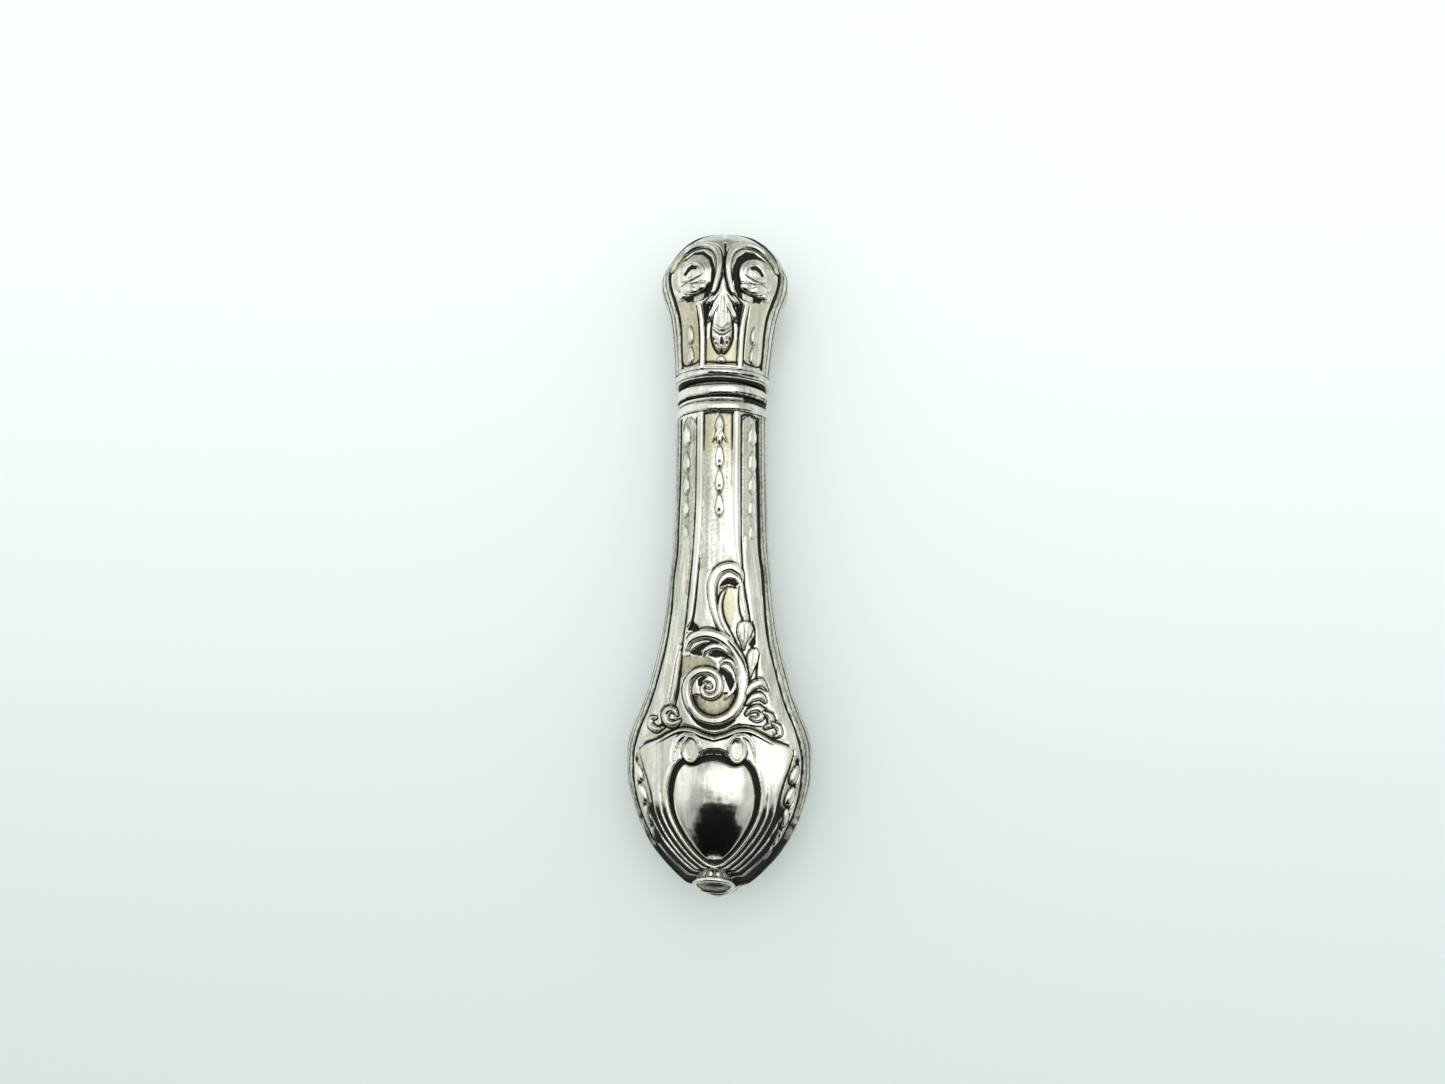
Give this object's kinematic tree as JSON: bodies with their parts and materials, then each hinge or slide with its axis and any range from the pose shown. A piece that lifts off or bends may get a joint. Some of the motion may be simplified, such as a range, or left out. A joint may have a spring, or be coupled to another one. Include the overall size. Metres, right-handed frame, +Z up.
{
  "type": "needle case",
  "caption": "Hollow handle-shaped silver needle case with stamped scroll relief, a polished dome, a ringed neck and a pull-off cap on a tube spigot.",
  "frame": {"origin": "centre of the resting footprint: midway between tip and crown, on the surface that the case lies on", "axes": "+Y along the case's long axis towards the cap, +Z up out of the front face, +X to the right seen from the front with the cap up"},
  "size_m": [0.0244, 0.09, 0.0146],
  "materials": {
    "stamped_silver": "stamped sheet silver, bright on the high points, warm tarnish in the grounds and black oxide in the grooves",
    "plain_silver": "turned silver rings, polished, with dark oxide in the corners",
    "inner_silver": "drawn silver tube, satin with fine lengthwise rub marks"
  },
  "bodies": {
    "body": {"body_front_shell": "stamped_silver", "body_back_shell": "stamped_silver", "neck_collar": "plain_silver", "lower_bead": "plain_silver", "upper_bead": "plain_silver", "mouth_plate": "plain_silver"},
    "tube": {"needle_tube": "inner_silver", "tube_floor": "inner_silver", "stop_ring": "plain_silver"},
    "cap": {"cap_front_shell": "stamped_silver", "cap_back_shell": "stamped_silver", "cap_band": "plain_silver", "cap_mouth_ring": "plain_silver", "cap_liner": "inner_silver", "cap_liner_disc": "inner_silver"}
  },
  "joints": [
    {"name": "cap_turn", "type": "hinge", "parent": "body", "child": "tube", "pos_m": [0, 0.0217, 0.0072], "axis": [0, 1, 0], "continuous": true},
    {"name": "cap_pull", "type": "slide", "parent": "tube", "child": "cap", "axis": [0, 1, 0], "range_m": [0, 0.03]}
  ]
}
